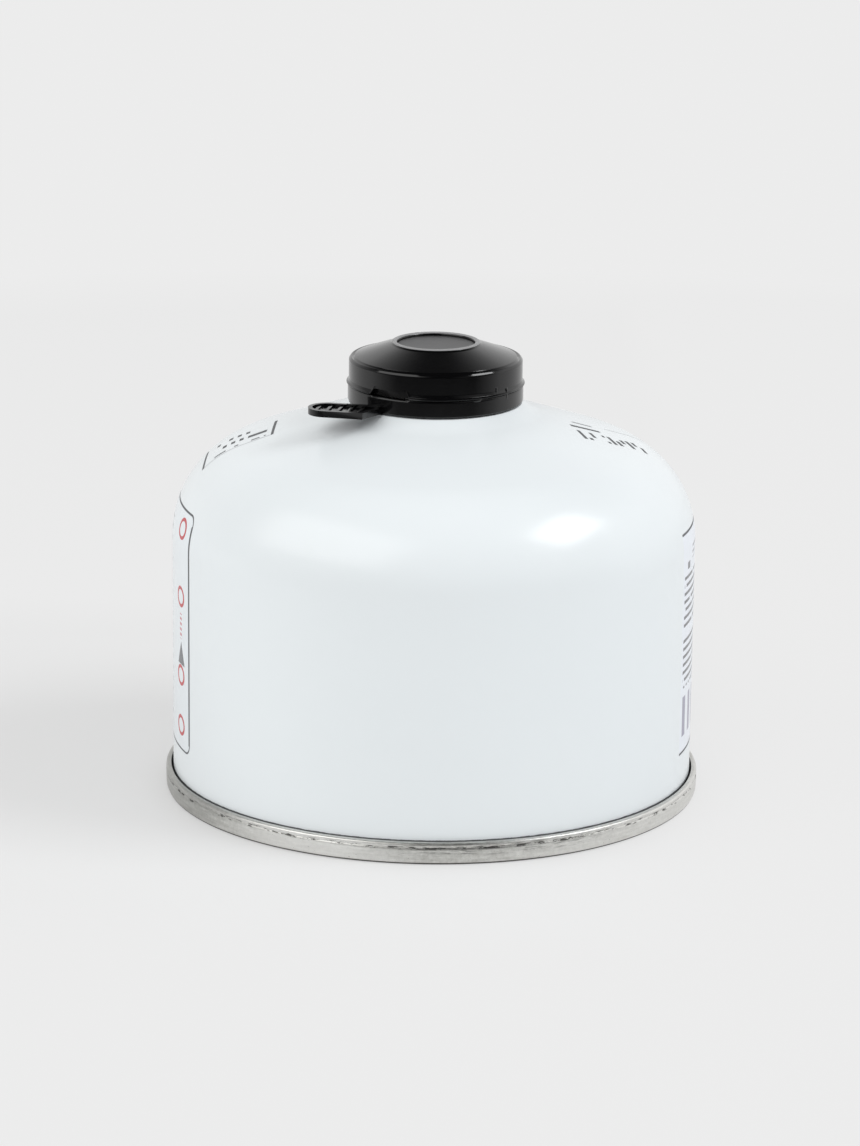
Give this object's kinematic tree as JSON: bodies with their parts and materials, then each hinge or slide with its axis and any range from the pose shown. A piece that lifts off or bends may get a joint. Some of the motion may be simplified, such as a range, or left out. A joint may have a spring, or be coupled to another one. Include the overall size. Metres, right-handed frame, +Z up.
{
  "type": "fuel canister",
  "caption": "Squat white steel gas canister with a rounded shoulder, a bare rolled rim at its foot, and a black snap cap with a tear-off band and pull tab over a screw valve.",
  "frame": {"origin": "centre of the standing face, at the foot of the double seam", "axes": "+Z up along the can's axis, through the valve and cap; -Y towards the front, where the pull tab leaves the cap to the left"},
  "size_m": [0.11, 0.11, 0.0934],
  "materials": {
    "enamel": "glossy baked enamel",
    "tinplate": "bare tinned steel, rolled, lightly scuffed",
    "seal_rubber": "matt moulded",
    "cap_plastic": "glossy injection moulded, matt top disc"
  },
  "bodies": {
    "root": {"can_body": "enamel", "bottom_end": "tinplate", "valve_cup": "tinplate", "valve_seal": "seal_rubber", "cap": "cap_plastic"}
  },
  "joints": []
}
